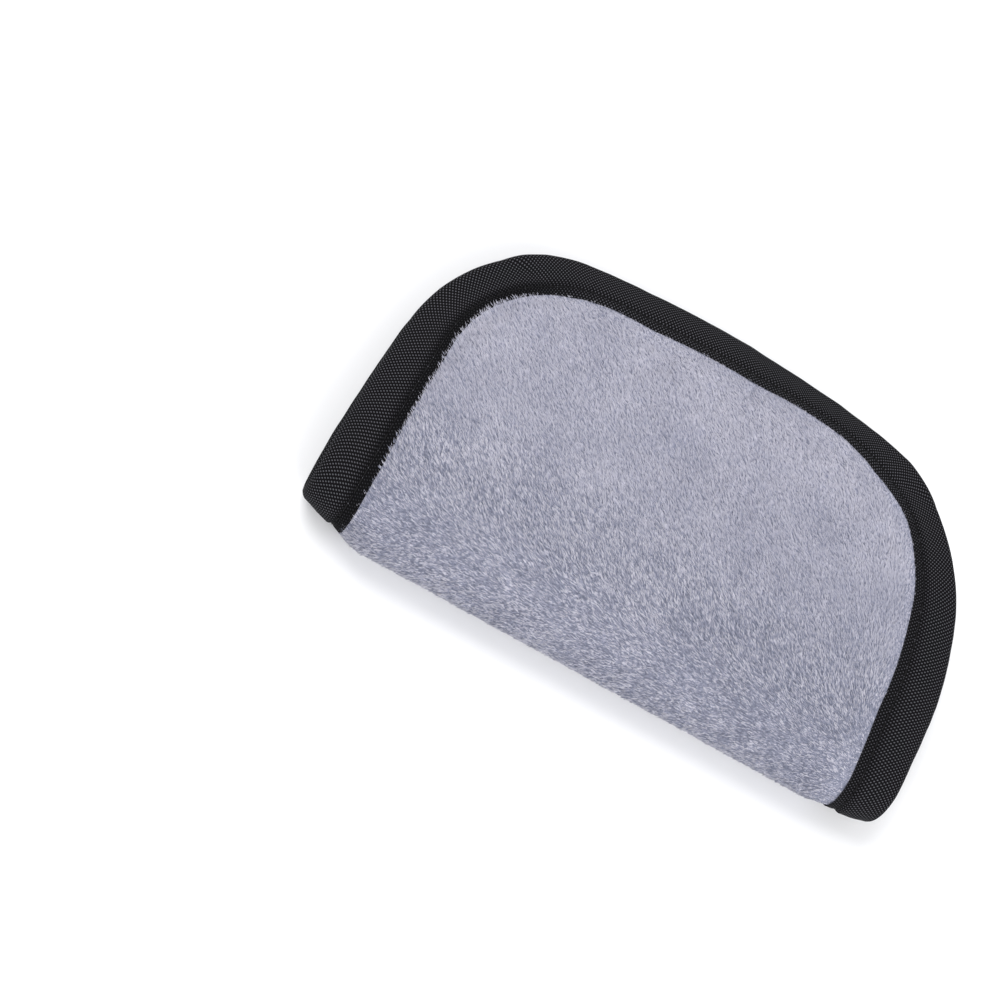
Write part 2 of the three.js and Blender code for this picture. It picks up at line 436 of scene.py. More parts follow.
def middlePoint(u, v, inset):
    cornerX, cornerQ = blankPoint(cornerMiddle, inset)
    sideX, sideQ = blankPoint(abs(v) * cornerMiddle, inset)
    freeX, freeQ = blankPoint(quarterLength - abs(u) * (quarterLength - cornerMiddle), inset)
    bulge = max(0.0, (sideQ - quarterFold) / (cornerQ - quarterFold)) ** 2
    q = sideQ + (freeQ - cornerQ) * bulge
    return math.copysign(freeX * sideX / cornerX, u), math.copysign(q, v)


# Distance along the outline of a point on the grid's own edge
def edgeAlong(u, v):
    freeHalf = quarterLength - cornerMiddle
    if abs(u) > 1 - 1e-6:
        side = v * cornerMiddle
        return side % outlineLength if u > 0 else 2 * quarterLength - side
    if v > 0:
        return quarterLength - u * freeHalf
    return 3 * quarterLength + u * freeHalf


def blankSheet(rings, columns, rows):
    bm = bmesh.new()
    bmesh.ops.create_grid(bm, x_segments=columns, y_segments=rows, size=1.0)
    along = bm.verts.layers.float.new("along")
    inset = bm.verts.layers.float.new("inset")
    middle = sheet["middleInset"]
    for vert in bm.verts:
        u, v = vert.co.x, vert.co.y
        if vert.is_boundary:
            vert[along] = edgeAlong(u, v)
            vert[inset] = middle
            vert.co.x, vert.co.y = blankPoint(vert[along], middle)
        else:
            vert[inset] = middle + 1
            vert.co.x, vert.co.y = middlePoint(u, v, middle)
        vert.co.z = 0
    for distance in rings:
        edge = [e for e in bm.edges if e.is_boundary]
        made = bmesh.ops.extrude_edge_only(bm, edges=edge)["geom"]
        for vert in made:
            if isinstance(vert, bmesh.types.BMVert):
                vert[inset] = distance
                vert.co.x, vert.co.y = blankPoint(vert[along], crowded(vert[along], distance))
    faceOutward(bm)
    if sum(face.normal.z for face in bm.faces) < 0:
        bmesh.ops.reverse_faces(bm, faces=bm.faces)
    bm.verts.index_update()
    return bm, inset


# Closes a sheet into a layer: a copy of it, turned over, is the inner side
def layerFrom(bm, inset, outerHeight, innerHeight, outerPlaces=None):
    outerVerts = list(bm.verts)
    copied = bmesh.ops.duplicate(bm, geom=bm.verts[:] + bm.edges[:] + bm.faces[:])["geom"]
    innerVerts = [item for item in copied if isinstance(item, bmesh.types.BMVert)]
    innerFaces = [item for item in copied if isinstance(item, bmesh.types.BMFace)]
    bmesh.ops.reverse_faces(bm, faces=innerFaces)
    for vert in innerVerts:
        vert.co = place(vert.co.x, vert.co.y, innerHeight(vert[inset]))
    for index, vert in enumerate(outerVerts):
        if outerPlaces:
            vert.co = outerPlaces[index]
        else:
            vert.co = place(vert.co.x, vert.co.y, outerHeight(vert[inset]))
    rim = [e for e in bm.edges if e.is_boundary]
    bmesh.ops.bridge_loops(bm, edges=rim)
    faceOutward(bm)


# Plush cover: the backing swells between its seams under the tape, as a cloth simulation
plush = {
    "pressedHeight": 3.8,
    "backingHeight": 4.35,
    "innerHeight": 3.4,
    "pressedInner": 3.3,
    "pinnedInset": 12.4,
    "slackPin": 0.004,
    "frames": 20,
    "cloth": {
        "quality": 4,
        "mass": 0.3,
        "tension_stiffness": 12,
        "compression_stiffness": 12,
        "bending_stiffness": 1.5,
        "use_pressure": True,
        "uniform_pressure_force": 4.0,
        "shrink_min": -0.02,
        "vertex_group_mass": "sewn",
    },
    "swellLimit": 0.5,
    "sinkShare": 0.3,
    "foldHill": (1, 16),
    "foldCalm": 0.75,
    "looseBand": (12.4, 8.6),
    "hollowDepth": 0.30,
    "hollowSize": 17.0,
    "smallHollow": 0.45,
}


def plushSheet():
    return blankSheet(sheet["plushRings"], sheet["columns"], sheet["rows"])


def swollenPlaces(cloth, insets):
    pinned = cloth.vertex_groups.new(name="sewn")
    for index, distance in enumerate(insets):
        share = 1.0 if distance <= plush["pinnedInset"] else plush["slackPin"]
        pinned.add([index], share, "REPLACE")
    modifier = cloth.modifiers.new("swell", "CLOTH")
    for key, value in plush["cloth"].items():
        setattr(modifier.settings, key, value)
    modifier.settings.effector_weights.gravity = 0
    modifier.collision_settings.use_collision = False
    modifier.point_cache.frame_start = 1
    modifier.point_cache.frame_end = plush["frames"]
    for step in range(1, plush["frames"] + 1):
        scene.frame_set(step)
    places = [vert.co.copy() for vert in evaluated(cloth).data.vertices]
    scene.frame_set(1)
    return places


# Outer side of the backing: the swelling is kept small, and a few shallow hollows are added
def swollenBacking():
    bm, inset = plushSheet()
    height = loft(plush["pressedHeight"], plush["backingHeight"])
    flat = [Vector((vert.co.x, vert.co.y)) for vert in bm.verts]
    insets = [vert[inset] for vert in bm.verts]
    for vert in bm.verts:
        vert.co = place(vert.co.x, vert.co.y, height(vert[inset]))
    start = [vert.co.copy() for vert in bm.verts]
    cloth = addMesh(bm, "plushBackingCloth")
    places = swollenPlaces(cloth, insets)
    bpy.data.objects.remove(cloth)
    limit = plush["swellLimit"] * mm
    size = plush["hollowSize"]
    finished = []
    for spot, began, point, distance in zip(places, start, flat, insets):
        out = outward(point.x, point.y)
        calm = 1 - plush["foldCalm"] * hill(point.y, *plush["foldHill"])
        rise = min(max((spot - began).dot(out), -plush["sinkShare"] * limit), limit) * calm
        hollow = mottle(point.x, point.y, 3.7, size)
        hollow += 0.5 * mottle(point.x, point.y, 9.1, plush["smallHollow"] * size)
        loose = rising(distance, *plush["looseBand"]) * calm
        rise += hollow * plush["hollowDepth"] * mm * loose
        finished.append(began + out * rise)
    return finished


backingPlaces = swollenBacking()


def plushBacking():
    bm, inset = plushSheet()
    inner = loft(plush["pressedInner"], plush["innerHeight"])
    layerFrom(bm, inset, None, inner, backingPlaces)
    return addMesh(bm, "plushBacking")


backing = plushBacking()
print("plush backing swollen")

# Pile: slim spikes laid over along the cloth, thickest where the pad is seen most. Densities
# count spikes on a square millimetre. Bands and hills lie on the flat blank.
pile = {
    "upperDensity": 11.5,
    "lowerDensity": 2.4,
    "densityBand": (11.4, 0.7),
    "underBand": (4, 5),
    "strandLength": 1.4,
    "strandWidth": 0.29,
    "widthRange": (0.7, 1.25),
    "lengthRange": (0.65, 1.2),
    "shortInsets": (16, 4),
    "shortFromLeft": (-60, 20),
    "shortShare": 0.5,
    "foldLength": 0.8,
    "rise": 0.42,
    "underRise": 0.16,
    "foldRise": 0.22,
    "riseRange": (0.6, 1.5),
    "foldHill": (2, 15, 1.3),
    "spread": 0.24,
    "swirl": 0.6,
    "swirlScale": 330.0,
    "tuftSize": 0.85,
    "tuftPull": 0.35,
    "tuftShade": 0.25,
    "shadeLevels": 0.42,
    "foldShadeLevels": 1.25,
    "shadeHill": (6, 34, 1.25),
    "patchTone": 0.10,
    "patchSizes": (13, 5),
    # Painted shade darkens the pile near the fold: how much, and where
    "foldPaintedShade": 0.15,
    "foldPaintedShadeHill": (8, 34),
    "rightTone": 0.07,
    "rightBand": (0, 40),
    "rightHill": (24, 26, 1.3),
    "edgeTone": 0.08,
    "edgeBand": (50, 30),
    "layMiddle": 32,
    "layMiddleBand": (-4, 22),
    "layEdgeShare": 0.6,
    "layEdgeBand": (64, 10),
    "layRight": 78,
    "layRightBand": (40, 34),
    "layUpBand": (0, 30),
    "layHeight": 5,
    "mapMargin": 0.03,
    "mapUp": (0.02, 0.95),
    "mapSpread": (0.008, 0.006),
    "softness": 0.45,
    "lowest": 0.02,
    "seed": 7,
}


# Which way the pile lies: mostly towards the left end, and along the tape at the right end
def layAngle(x, q):
    y = abs(q) - quarterFold
    middle = pile["layMiddle"] * rising(y, *pile["layMiddleBand"])
    middle *= 1 - pile["layEdgeShare"] * rising(y, *pile["layEdgeBand"])
    right = rising(x, *pile["layRightBand"]) * rising(y, *pile["layUpBand"])
    return math.radians(mix(middle, pile["layRight"], right))


def layDirection(x, q):
    angle = layAngle(x, q)
    side = 1 if q >= 0 else -1
    step = 0.4
    height = pile["layHeight"]
    ahead = place(x - step * math.cos(angle), q + side * step * math.sin(angle), height)
    return (ahead - place(x, q, height)).normalized()


# Each piece of pile has its place on the flat blank, as a share from 0 to 1
pileBorders = {
    "aboveFold": 7,
    "belowFold": -12,
    "left": -20,
    "right": 26,
    "width": 1.5,
}


def past(at, border):
    return rising(at, pileBorders[border], pileBorders["width"])


def before(at, border):
    return falling(at, pileBorders[border], pileBorders["width"])


pileRegions = {
    "plushPileLeft": lambda x, q: past(q, "aboveFold") * before(x, "left"),
    "plushPileMiddle": lambda x, q: (past(q, "aboveFold") * (1 - before(x, "left"))
                                     * before(x, "right")),
    "plushPileRight": lambda x, q: past(q, "aboveFold") * (1 - before(x, "right")),
    "plushPileFold": lambda x, q: (1 - past(q, "aboveFold")) * past(q, "belowFold"),
    "plushPileUnder": lambda x, q: 1 - past(q, "belowFold"),
}


# What each strand needs to know of the place where it grows
def strandFacts(x, q, inset, share):
    under = rising(-q, *pile["underBand"])
    onFold = hill(q, *pile["foldHill"])
    short = falling(inset, *pile["shortInsets"]) * rising(x, *pile["shortFromLeft"])
    broad, small = pile["patchSizes"]
    patch = mottle(x, q, 1.3, broad) + 0.6 * mottle(x, q, 5.1, small)
    # Patches vary at random, painted shade darkens the pile near the fold, and it is a little
    # darker in the lower right and lighter towards the free edge
    toneAndPaintedShade = 0.5 + pile["patchTone"] * patch - pile["foldPaintedShade"] * hill(q, *pile["foldPaintedShadeHill"])
    lowerRight = rising(x, *pile["rightBand"]) * hill(q, *pile["rightHill"])
    toneAndPaintedShade -= pile["rightTone"] * lowerRight
    toneAndPaintedShade += pile["edgeTone"] * rising(q, *pile["edgeBand"])
    density = mix(pile["upperDensity"], pile["lowerDensity"], under)
    upperRise = mix(pile["rise"], pile["foldRise"], onFold)
    levels = mix(pile["shadeLevels"], pile["foldShadeLevels"], hill(q, *pile["shadeHill"]))
    return {
        "lay": layDirection(x, q),
        "density": [density * rising(inset, *pile["densityBand"]) * share],
        "rise": [mix(upperRise, pile["underRise"], under)],
        "toneAndPaintedShade": [toneAndPaintedShade],
        "vary": [levels],
        "size": [mix(1.0, pile["foldLength"], onFold) * (1 - pile["shortShare"] * short)],
    }


# The outer side of the backing again, open, with what each strand needs to know
def strandBed(region):
    bm, inset = plushSheet()
    flat = [(vert.co.x, vert.co.y, vert[inset]) for vert in bm.verts]
    for vert, spot in zip(bm.verts, backingPlaces):
        vert.co = spot
    bed = addMesh(bm, "strandBed")
    facts = [strandFacts(x, q, distance, region(x, q)) for x, q, distance in flat]
    for name in facts[0]:
        kind, slot = ("FLOAT_VECTOR", "vector") if name == "lay" else ("FLOAT", "value")
        values = [number for fact in facts for number in fact[name]]
        bed.data.attributes.new(name, kind, "POINT").data.foreach_set(slot, values)
    return bed


class PileNodes(Nodes):
    def __init__(self, name):
        super().__init__(bpy.data.node_groups.new(name, "GeometryNodeTree"))
        for way in ("INPUT", "OUTPUT"):
            self.tree.interface.new_socket("Geometry", in_out=way,
                                           socket_type="NodeSocketGeometry")

    def attribute(self, name, kind="FLOAT"):
        return self.node("GeometryNodeInputNamedAttribute", {"data_type": kind}, {"Name": name})

    def vector(self, operation, *inputs):
        return self.node("ShaderNodeVectorMath", {"operation": operation},
                         dict(enumerate(inputs)))

    def total(self, lean, *others):
        for other in others:
            lean = self.vector("ADD", lean, other)
        return lean

    def times(self, vector, factor):
        thrice = self.join(*[factor] * 3) if isinstance(factor, Value) else (factor,) * 3
        return self.vector("MULTIPLY", vector, thrice)

    def random(self, lowest, highest, seed):
        sockets = {2: lowest, 3: highest, "Seed": seed}
        return self.node("FunctionNodeRandomValue", {}, sockets, output=1)

    def randomVector(self, reach, seed):
        sockets = {0: (-reach,) * 3, 1: (reach,) * 3, "Seed": seed}
        return self.node("FunctionNodeRandomValue", {"data_type": "FLOAT_VECTOR"}, sockets)

    def store(self, geometry, name, value, domain="POINT", kind="FLOAT"):
        return self.node("GeometryNodeStoreNamedAttribute", {"data_type": kind, "domain": domain},
                         {"Geometry": geometry, "Name": name, "Value": value})

    def join(self, *vectorParts):
        return self.node("ShaderNodeCombineXYZ", {}, dict(enumerate(vectorParts)))


# Strands stand on random points and lean the way of the lay, with some spread, a slow swirl,
# a pull towards the middle of their tuft and a rise out of the cloth
def strandNodes(seed):
    kit = PileNodes("growPile")
    perSquareMetre = 1e6
    points = kit.node("GeometryNodeDistributePointsOnFaces", {},
                      {"Mesh": kit.node("NodeGroupInput"), "Seed": seed,
                       "Density": kit.attribute("density") * perSquareMetre}, output="Points")
    normals = points.sibling("Normal")
    points = kit.store(points, "bedNormal", normals, kind="FLOAT_VECTOR")
    tuft = kit.node("ShaderNodeTexVoronoi", {}, {"Scale": 1 / mm / pile["tuftSize"]},
                    output="Position")
    tuftShade = kit.parts(tuft.sibling("Color"))[0] - 0.5
    points = kit.store(points, "tuftShade", tuftShade)
    swirl = kit.node("ShaderNodeTexNoise", {}, {"Scale": pile["swirlScale"], "Detail": 1.0},
                     output="Color")
    swirl = kit.vector("SUBTRACT", swirl, (0.5, 0.5, 0.5))
    inward = kit.vector("SUBTRACT", tuft, kit.node("GeometryNodeInputPosition"))
    steep = kit.attribute("rise") * kit.random(*pile["riseRange"], 12)
    lean = kit.total(kit.attribute("lay", "FLOAT_VECTOR"), kit.randomVector(pile["spread"], 11),
                     kit.times(swirl, pile["swirl"]), kit.times(inward, pile["tuftPull"] / mm),
                     kit.times(kit.attribute("bedNormal", "FLOAT_VECTOR"), steep))
    turned = kit.node("FunctionNodeAlignRotationToVector", {"axis": "Z"}, {"Vector": lean})
    rolled = kit.node("FunctionNodeRotateRotation", {"rotation_space": "LOCAL"},
                      {0: turned, 1: kit.join(0.0, 0.0, kit.random(0.0, 6.28, 13))})
    width = kit.random(*pile["widthRange"], 14) * (pile["strandWidth"] / 2 * mm)
    length = kit.random(*pile["lengthRange"], 15) * kit.attribute("size")
    length = length * (pile["strandLength"] * mm)
    sockets = {"Vertices": 3, "Radius Top": 0.0, "Radius Bottom": 1.0, "Depth": 1.0}
    spike = kit.node("GeometryNodeMeshCone", {}, sockets, output="Mesh")
    height = kit.parts(kit.node("GeometryNodeInputPosition"))[2]
    placed = kit.node("GeometryNodeInstanceOnPoints", {},
                      {"Points": points, "Instance": kit.store(spike, "tip", height),
                       "Rotation": rolled, "Scale": kit.join(width, width, length)})
    mixed = kit.random(-0.5, 0.5, 16) + kit.attribute("tuftShade") * pile["tuftShade"]
    shade = kit.attribute("toneAndPaintedShade") + mixed * kit.attribute("vary")
    placed = kit.store(placed, "shade", shade, "INSTANCE")
    grown = kit.node("GeometryNodeRealizeInstances", {}, {0: placed})
    kit.node("NodeGroupOutput", {}, {0: grown})
    return kit.tree


def readOut(data, slot, size, kind=np.float32):
    values = np.empty(size, dtype=kind)
    data.foreach_get(slot, values)
    return values


# The pile's own map: across it the shade of a strand, up it the way from root to tip, with
# the corners of a strand a little apart
def mapPile(mesh):
    count = len(mesh.vertices)
    shade = readOut(mesh.attributes["shade"].data, "value", count)
    tip = readOut(mesh.attributes["tip"].data, "value", count)
    vertices = readOut(mesh.loops, "vertex_index", len(mesh.loops), np.int32)
    corner = np.arange(count) % 4
    margin = pile["mapMargin"]
    root, reach = pile["mapUp"]
    spreadAcross, spreadUp = pile["mapSpread"]
    across = np.clip(shade, margin, 1 - margin) + (corner - 1.5) * spreadAcross
    upward = root + reach * tip + corner * spreadUp
    pairs = np.stack([across[vertices], upward[vertices]], axis=1)
    mesh.uv_layers.new(name="OFBake").data.foreach_set("uv", pairs.ravel())


# Normals between a strand's own and those of the bed, so that the pile shades softly
def softNormals(mesh):
    size = 3 * len(mesh.vertices)
    own = readOut(mesh.vertex_normals, "vector", size)
    bedNormals = readOut(mesh.attributes["bedNormal"].data, "vector", size)
    softened = mix(own, bedNormals, pile["softness"]).reshape(-1, 3)
    return softened / np.linalg.norm(softened, axis=1, keepdims=True)


def growPile(name, region, seed):
    bed = strandBed(region)
    bed.modifiers.new("pile", "NODES").node_group = strandNodes(seed)
    mesh = bpy.data.meshes.new_from_object(evaluated(bed))
    mesh.name = name
    bpy.data.objects.remove(bed)
    mapPile(mesh)
    softened = softNormals(mesh)
    for used in ("lay", "density", "rise", "toneAndPaintedShade", "vary", "size", "bedNormal", "tuftShade",
                 "shade", "tip"):
        if used in mesh.attributes:
            mesh.attributes.remove(mesh.attributes[used])
    places = readOut(mesh.vertices, "co", 3 * len(mesh.vertices))
    places[2::3] = np.maximum(places[2::3], pile["lowest"] * mm)
    mesh.vertices.foreach_set("co", places)
    mesh.shade_smooth()
    mesh.normals_split_custom_set_from_vertices(softened)
    return addObject(name, mesh)


pilePieces = []
for pileName, region in pileRegions.items():
    pilePieces.append(growPile(pileName, region, pile["seed"] + len(pilePieces)))
    print("pile grown", pileName, len(pilePieces[-1].data.polygons), "faces")

# Binding tape: a woven tape wrapped round the whole edge, rolled plump outside its seam.
# Insets are measured in from the pad's edge. The inner side's heights are counted from the
# roll's centre, and the others from the lining.
binding = {
    "columnPitch": 0.96,
    "countedAt": (5.0, 4.9),
    "threadsAcross": 82,
    "insets": [11.6, 11.3, 10.8, 10.2, 9.75, 9.4, 9.1, 8.8, 8.45, 7.9, 7.0, 6.0, 5.0, 4.0, 3.0],
    "innerSide": [(11.3, 1.0), (8.8, 0.95), (5.0, 1.1)],
    "innerEnd": (2.4, 0.0),
    "seamInset": 9.1,
    "seamDepth": 0.30,
    "seamWidth": 0.45,
    "edgeDrop": 0.52,
    "dropBand": (7.9, 1.3),
    "plumpness": 0.38,
    "plumpInset": 4.8,
    "plumpWidth": 2.6,
    "faceHeight": 4.55,
    "rollInset": 2.0,
    "rollCentre": 2.8,
    "rollTurns": 10,
    "rollSqueeze": 0.06,
    "stitchPitch": 2.6,
    "pucker": 0.10,
    "puckerWidth": 1.5,
    "waviness": 0.16,
    "wavesRound": 18,
    "faceWaveBand": (12, 3),
    "edgeWaveBand": (4, 4),
    # Painted shade on the tape inside the seam: its strips on the map, and how light it is along
    # the pad
    "paintedLipShadeStrips": 8,
    "lipLight": 0.9,
    "lipLightBand": (-66, 30),
    "lipShaded": 0.35,
    "lipShadedBand": (55, 20),
}


# Height of the tape's face at a distance in from the edge
def tapeFace(inset):
    seam = bell(inset, binding["seamInset"], binding["seamWidth"])
    plump = bell(inset, binding["plumpInset"], binding["plumpWidth"])
    drop = binding["edgeDrop"] * rising(inset, *binding["dropBand"])
    rise = binding["faceHeight"] - binding["rollCentre"]
    return rise + binding["plumpness"] * plump - binding["seamDepth"] * seam - drop


# The tape's closed section, as pairs of inset and height
def tapeSection():
    upper = [(inset, tapeFace(inset)) for inset in binding["insets"]]
    rollInset, squeezed, turns = binding["rollInset"], binding["rollSqueeze"], binding["rollTurns"]
    radius = tapeFace(rollInset)
    roll = []
    for step in range(turns + 1):
        angle = math.pi / 2 - math.pi * step / turns
        squeeze = 1 + squeezed - squeezed * abs(math.sin(angle))
        roll.append((rollInset * (1 - squeeze * math.cos(angle)), radius * math.sin(angle)))
    lower = [(inset, -height) for inset, height in reversed(upper)]
    innerLower = [(inset, -height) for inset, height in binding["innerSide"]]
    innerUpper = list(reversed(binding["innerSide"]))
    return upper + roll + lower, innerLower + [binding["innerEnd"]] + innerUpper


# How much the painted shade on the tape inside the seam lets the threads show: least at the left
# end, most at the free edge
def paintedLipShadeStrip(along):
    x, _ = blankPoint(along)
    light = binding["lipLight"] * rising(x, *binding["lipLightBand"])
    light -= binding["lipShaded"] * rising(x, *binding["lipShadedBand"])
    return int(light * binding["paintedLipShadeStrips"])


# Distances along the outline that lie evenly on the outer face, also round the fold
def evenSteps(pitch, inset, samples=3000):
    alongs = [outlineLength * index / samples for index in range(samples + 1)]
    height = binding["countedAt"][1]
    spots = [place(*blankPoint(along, inset), height) for along in alongs]
    travelled = [0.0]
    for spot, following in zip(spots, spots[1:]):
        travelled.append(travelled[-1] + (following - spot).length / mm)
    count = round(travelled[-1] / pitch)
    wanted = np.linspace(0, travelled[-1], count + 1)
    return [float(step) for step in np.interp(wanted, travelled, alongs)]


# The outer side puckers at each stitch and waves a little where it is free
def rippled(along, inset, height):
    lap = along % outlineLength
    ripple = math.sin(2 * math.pi * lap / binding["stitchPitch"])
    near = bell(inset, binding["seamInset"], binding["puckerWidth"])
    turn = lap / outlineLength * math.tau
    reach = binding["wavesRound"]
    wave = mottle(math.cos(turn) * reach, math.sin(turn) * reach, 2.0)
    side = math.copysign(1.0, height) if abs(height) > 0.5 else height
    faceWave = binding["waviness"] * wave * (1 - near)
    faceWave *= falling(inset, *binding["faceWaveBand"])
    height += side * (binding["pucker"] * ripple * near + faceWave)
    inset -= 0.5 * binding["waviness"] * wave * falling(inset, *binding["edgeWaveBand"])
    return inset, height


def edgeBinding():
    outer, inner = tapeSection()
    section = outer + inner
    count = len(section)
    steps = evenSteps(binding["columnPitch"], binding["countedAt"][0])
    columns = len(steps) - 1
    bm = bmesh.new()
    bmesh.ops.create_grid(bm, x_segments=columns, y_segments=count, size=1.0)
    uv = bm.loops.layers.uv.new("OFBake")
    tapeLength = [0.0]
    for (a, b), (c, d) in zip(section, section[1:] + section[:1]):
        tapeLength.append(tapeLength[-1] + math.hypot(c - a, d - b))
    for face in bm.faces:
        middle = face.calc_center_median()
        # Each column takes a strip of the map, which sets how light its painted shade inside the
        # seam is
        shade = paintedLipShadeStrip(steps[int((middle.x + 1) / 2 * columns)])
        for loop in face.loops:
            row = round((loop.vert.co.y + 1) / 2 * count)
            across = shade if loop.vert.co.x < middle.x else shade + 1
            loop[uv].uv = (across / binding["paintedLipShadeStrips"], tapeLength[row] / tapeLength[-1])
    for vert in bm.verts:
        along = steps[round((vert.co.x + 1) / 2 * columns)]
        row = round((vert.co.y + 1) / 2 * count) % count
        inset, height = section[row]
        if row < len(outer):
            inset, height = rippled(along, inset, height)
        x, q = blankPoint(along, crowded(along, inset))
        vert.co = place(x, q, binding["rollCentre"] + height)
    bmesh.ops.remove_doubles(bm, verts=bm.verts, dist=1e-6)
    faceOutward(bm)
    return addMesh(bm, "edgeBinding")


tape = edgeBinding()
print("binding tape wrapped", len(tape.data.polygons), "faces")

# Sewing threads: one slim bead for each stitch, sunk in the seam it pulls down
thread = {
    "stitchLength": 1.9,
    "radius": 0.21,
    "sunk": 0.02,
    "phase": 0.75,
    "stripStitchPitch": 2.4,
    "stripStitchLength": 1.8,
    "stripRadius": 0.17,
}


def addStitch(bm, spot, ahead, up, length, radius):
    side = up.cross(ahead).normalized()
    turned = Matrix((ahead.normalized(), side, up)).transposed().to_4x4()
    size = Matrix.Diagonal((length / 2, radius, radius, 1.0))
    matrix = Matrix.Translation(spot) @ turned @ size @ Matrix.Rotation(math.pi / 2, 4, "Y")
    bmesh.ops.create_uvsphere(bm, u_segments=6, v_segments=6, radius=1.0, matrix=matrix)


def seamThread(name, side):
    bm = bmesh.new()
    seam = binding["seamInset"]
    steps = evenSteps(binding["stitchPitch"], seam)
    height = tapeFace(seam) + thread["radius"] - thread["sunk"] - binding["pucker"]
    height = binding["rollCentre"] + side * height
    for along, following in zip(steps, steps[1:]):
        along = mix(along, following, thread["phase"])
        inset = crowded(along, seam)
        spots = [place(*blankPoint(along + step, inset), height) for step in (-0.4, 0, 0.4)]
        up = outward(*blankPoint(along, inset)) * side
        ahead = spots[2] - spots[0]
        addStitch(bm, spots[1], ahead, up, thread["stitchLength"] * mm, thread["radius"] * mm)
    faceOutward(bm)
    return addMesh(bm, name)


needleThread = seamThread("needleThread", 1)
bobbinThread = seamThread("bobbinThread", -1)
print("seam stitched")

# Foam and lining follow the same blank: heights of each side, pressed and in full
layers = {
    "columns": 48,
    "rows": 56,
    "foamInner": (2.5, 0.9),
    "foamOuter": (3.0, 3.1),
    "liningInner": (1.8, 0.0),
    "liningOuter": (2.2, 0.6),
}


def padLayer(name, inner, outer):
    bm, inset = blankSheet(sheet["layerRings"], layers["columns"], layers["rows"])
    layerFrom(bm, inset, loft(*layers[outer]), loft(*layers[inner]))
    return addMesh(bm, name)


foam = padLayer("foamCore", "foamInner", "foamOuter")
lining = padLayer("innerLining", "liningInner", "liningOuter")
print("foam and lining laid")

# Closing strips on the lining: hooks on the lower flap, brushed loops under the upper one
strips = {
    "length": 80.0,
    "width": 16.0,
    "backing": 0.5,
    "height": 1.1,
    "margin": 2.2,
    "cornerRadius": 1.2,
    "fieldSunk": 0.1,
    "seamInset": 1.1,
    "gap": 0.3,
    "hookPitch": 1.6,
    "hookRadius": 0.11,
    "hookTaper": 0.8,
    "hookStem": 0.5,
    "hookStemRise": 0.28,
    "hookLean": 0.16,
    "hookHead": (0.24, 0.13, 0.1),
    "hookHeadDrop": 0.12,
    "hookInsets": (0.8, 0.6),
    "hookField": 0.08,
    "loopDrop": 0.15,
}
stripMiddleY = stripInnerY + strips["width"] / 2


def layStrip(bm, name, side, smooth=False):
    if side > 0:
        height, turn = part["flapThickness"] + strips["gap"], 0.0
    else:
        height = part["flapThickness"] + part["closedSpacing"] - strips["gap"]
        turn = math.pi
    spot = Vector((0, stripMiddleY + shiftY, height)) * mm
    laid = Matrix.Translation(spot) @ Matrix.Rotation(turn, 4, "X") @ Matrix.Scale(mm, 4)
    bmesh.ops.transform(bm, matrix=laid, verts=bm.verts)
    return addMesh(bm, name, smooth)


# A woven backing with rounded corners, and a raised field inside a plain margin
def stripBase(bm, fieldHeight):
    length, width, backing = strips["length"], strips["width"], strips["backing"]
    margins = 2 * strips["margin"]
    for size, low, high in (
        ((length, width), 0.0, backing),
        ((length - margins, width - margins), backing - strips["fieldSunk"], fieldHeight),
    ):
        middle = Matrix.Translation((0, 0, (low + high) / 2))
        matrix = middle @ Matrix.Diagonal((*size, high - low, 1.0))
        made = bmesh.ops.create_cube(bm, size=1.0, matrix=matrix)
        edges = {e for vert in made["verts"] for e in vert.link_edges}
        upright = [e for e in edges if abs(e.verts[0].co.z - e.verts[1].co.z) > 0.01]
        bmesh.ops.bevel(bm, geom=upright, offset=strips["cornerRadius"], segments=4,
                        profile=0.5, affect="EDGES", material=-1)


def stripStitches(name, side):
    bm = bmesh.new()
    reach = [strips[way] / 2 - strips["seamInset"] for way in ("length", "width")]
    pitch = thread["stripStitchPitch"]
    height = strips["backing"] + thread["stripRadius"]
    up = Vector((0, 0, 1))
    for way in (0, 1):
        ahead = Vector((1 - way, way, 0))
        for index in range(round(2 * reach[way] / pitch)):
            for edge in (-reach[1 - way], reach[1 - way]):
                spot = Vector((edge, edge, height))
                spot[way] = (index + 0.5) * pitch - reach[way]
                addStitch(bm, spot, ahead, up, thread["stripStitchLength"], thread["stripRadius"])
    faceOutward(bm)
    return layStrip(bm, name, side, smooth=True)


def hookStrip():
    bm = bmesh.new()
    backing, radius = strips["backing"], strips["hookRadius"]
    stripBase(bm, backing + strips["hookField"])
    insetX, insetY = strips["hookInsets"]
    reachX = strips["length"] / 2 - strips["margin"] - insetX
    reachY = strips["width"] / 2 - strips["margin"] - insetY
    rows = round(2 * reachY / strips["hookPitch"])
    columns = round(2 * reachX / strips["hookPitch"])
    for row in range(rows + 1):
        for column in range(columns + 1):
            x = mix(-reachX, reachX, (column + 0.5 * (row % 2)) / (columns + 0.5))
            y = mix(-reachY, reachY, row / rows)
            lean = strips["hookLean"] if (row + column) % 2 else -strips["hookLean"]
            stem = Matrix.Translation((x, y, backing + strips["hookStemRise"]))
            bmesh.ops.create_cone(bm, cap_ends=True, segments=5, radius1=radius,
                                  radius2=radius * strips["hookTaper"],
                                  depth=strips["hookStem"], matrix=stem)
            top = Vector((x + lean, y, strips["height"] - strips["hookHeadDrop"]))
            head = Matrix.Translation(top) @ Matrix.Diagonal((*strips["hookHead"], 1.0))
            bmesh.ops.create_icosphere(bm, subdivisions=1, radius=1.0, matrix=head)
    return layStrip(bm, "hookStrip", 1)


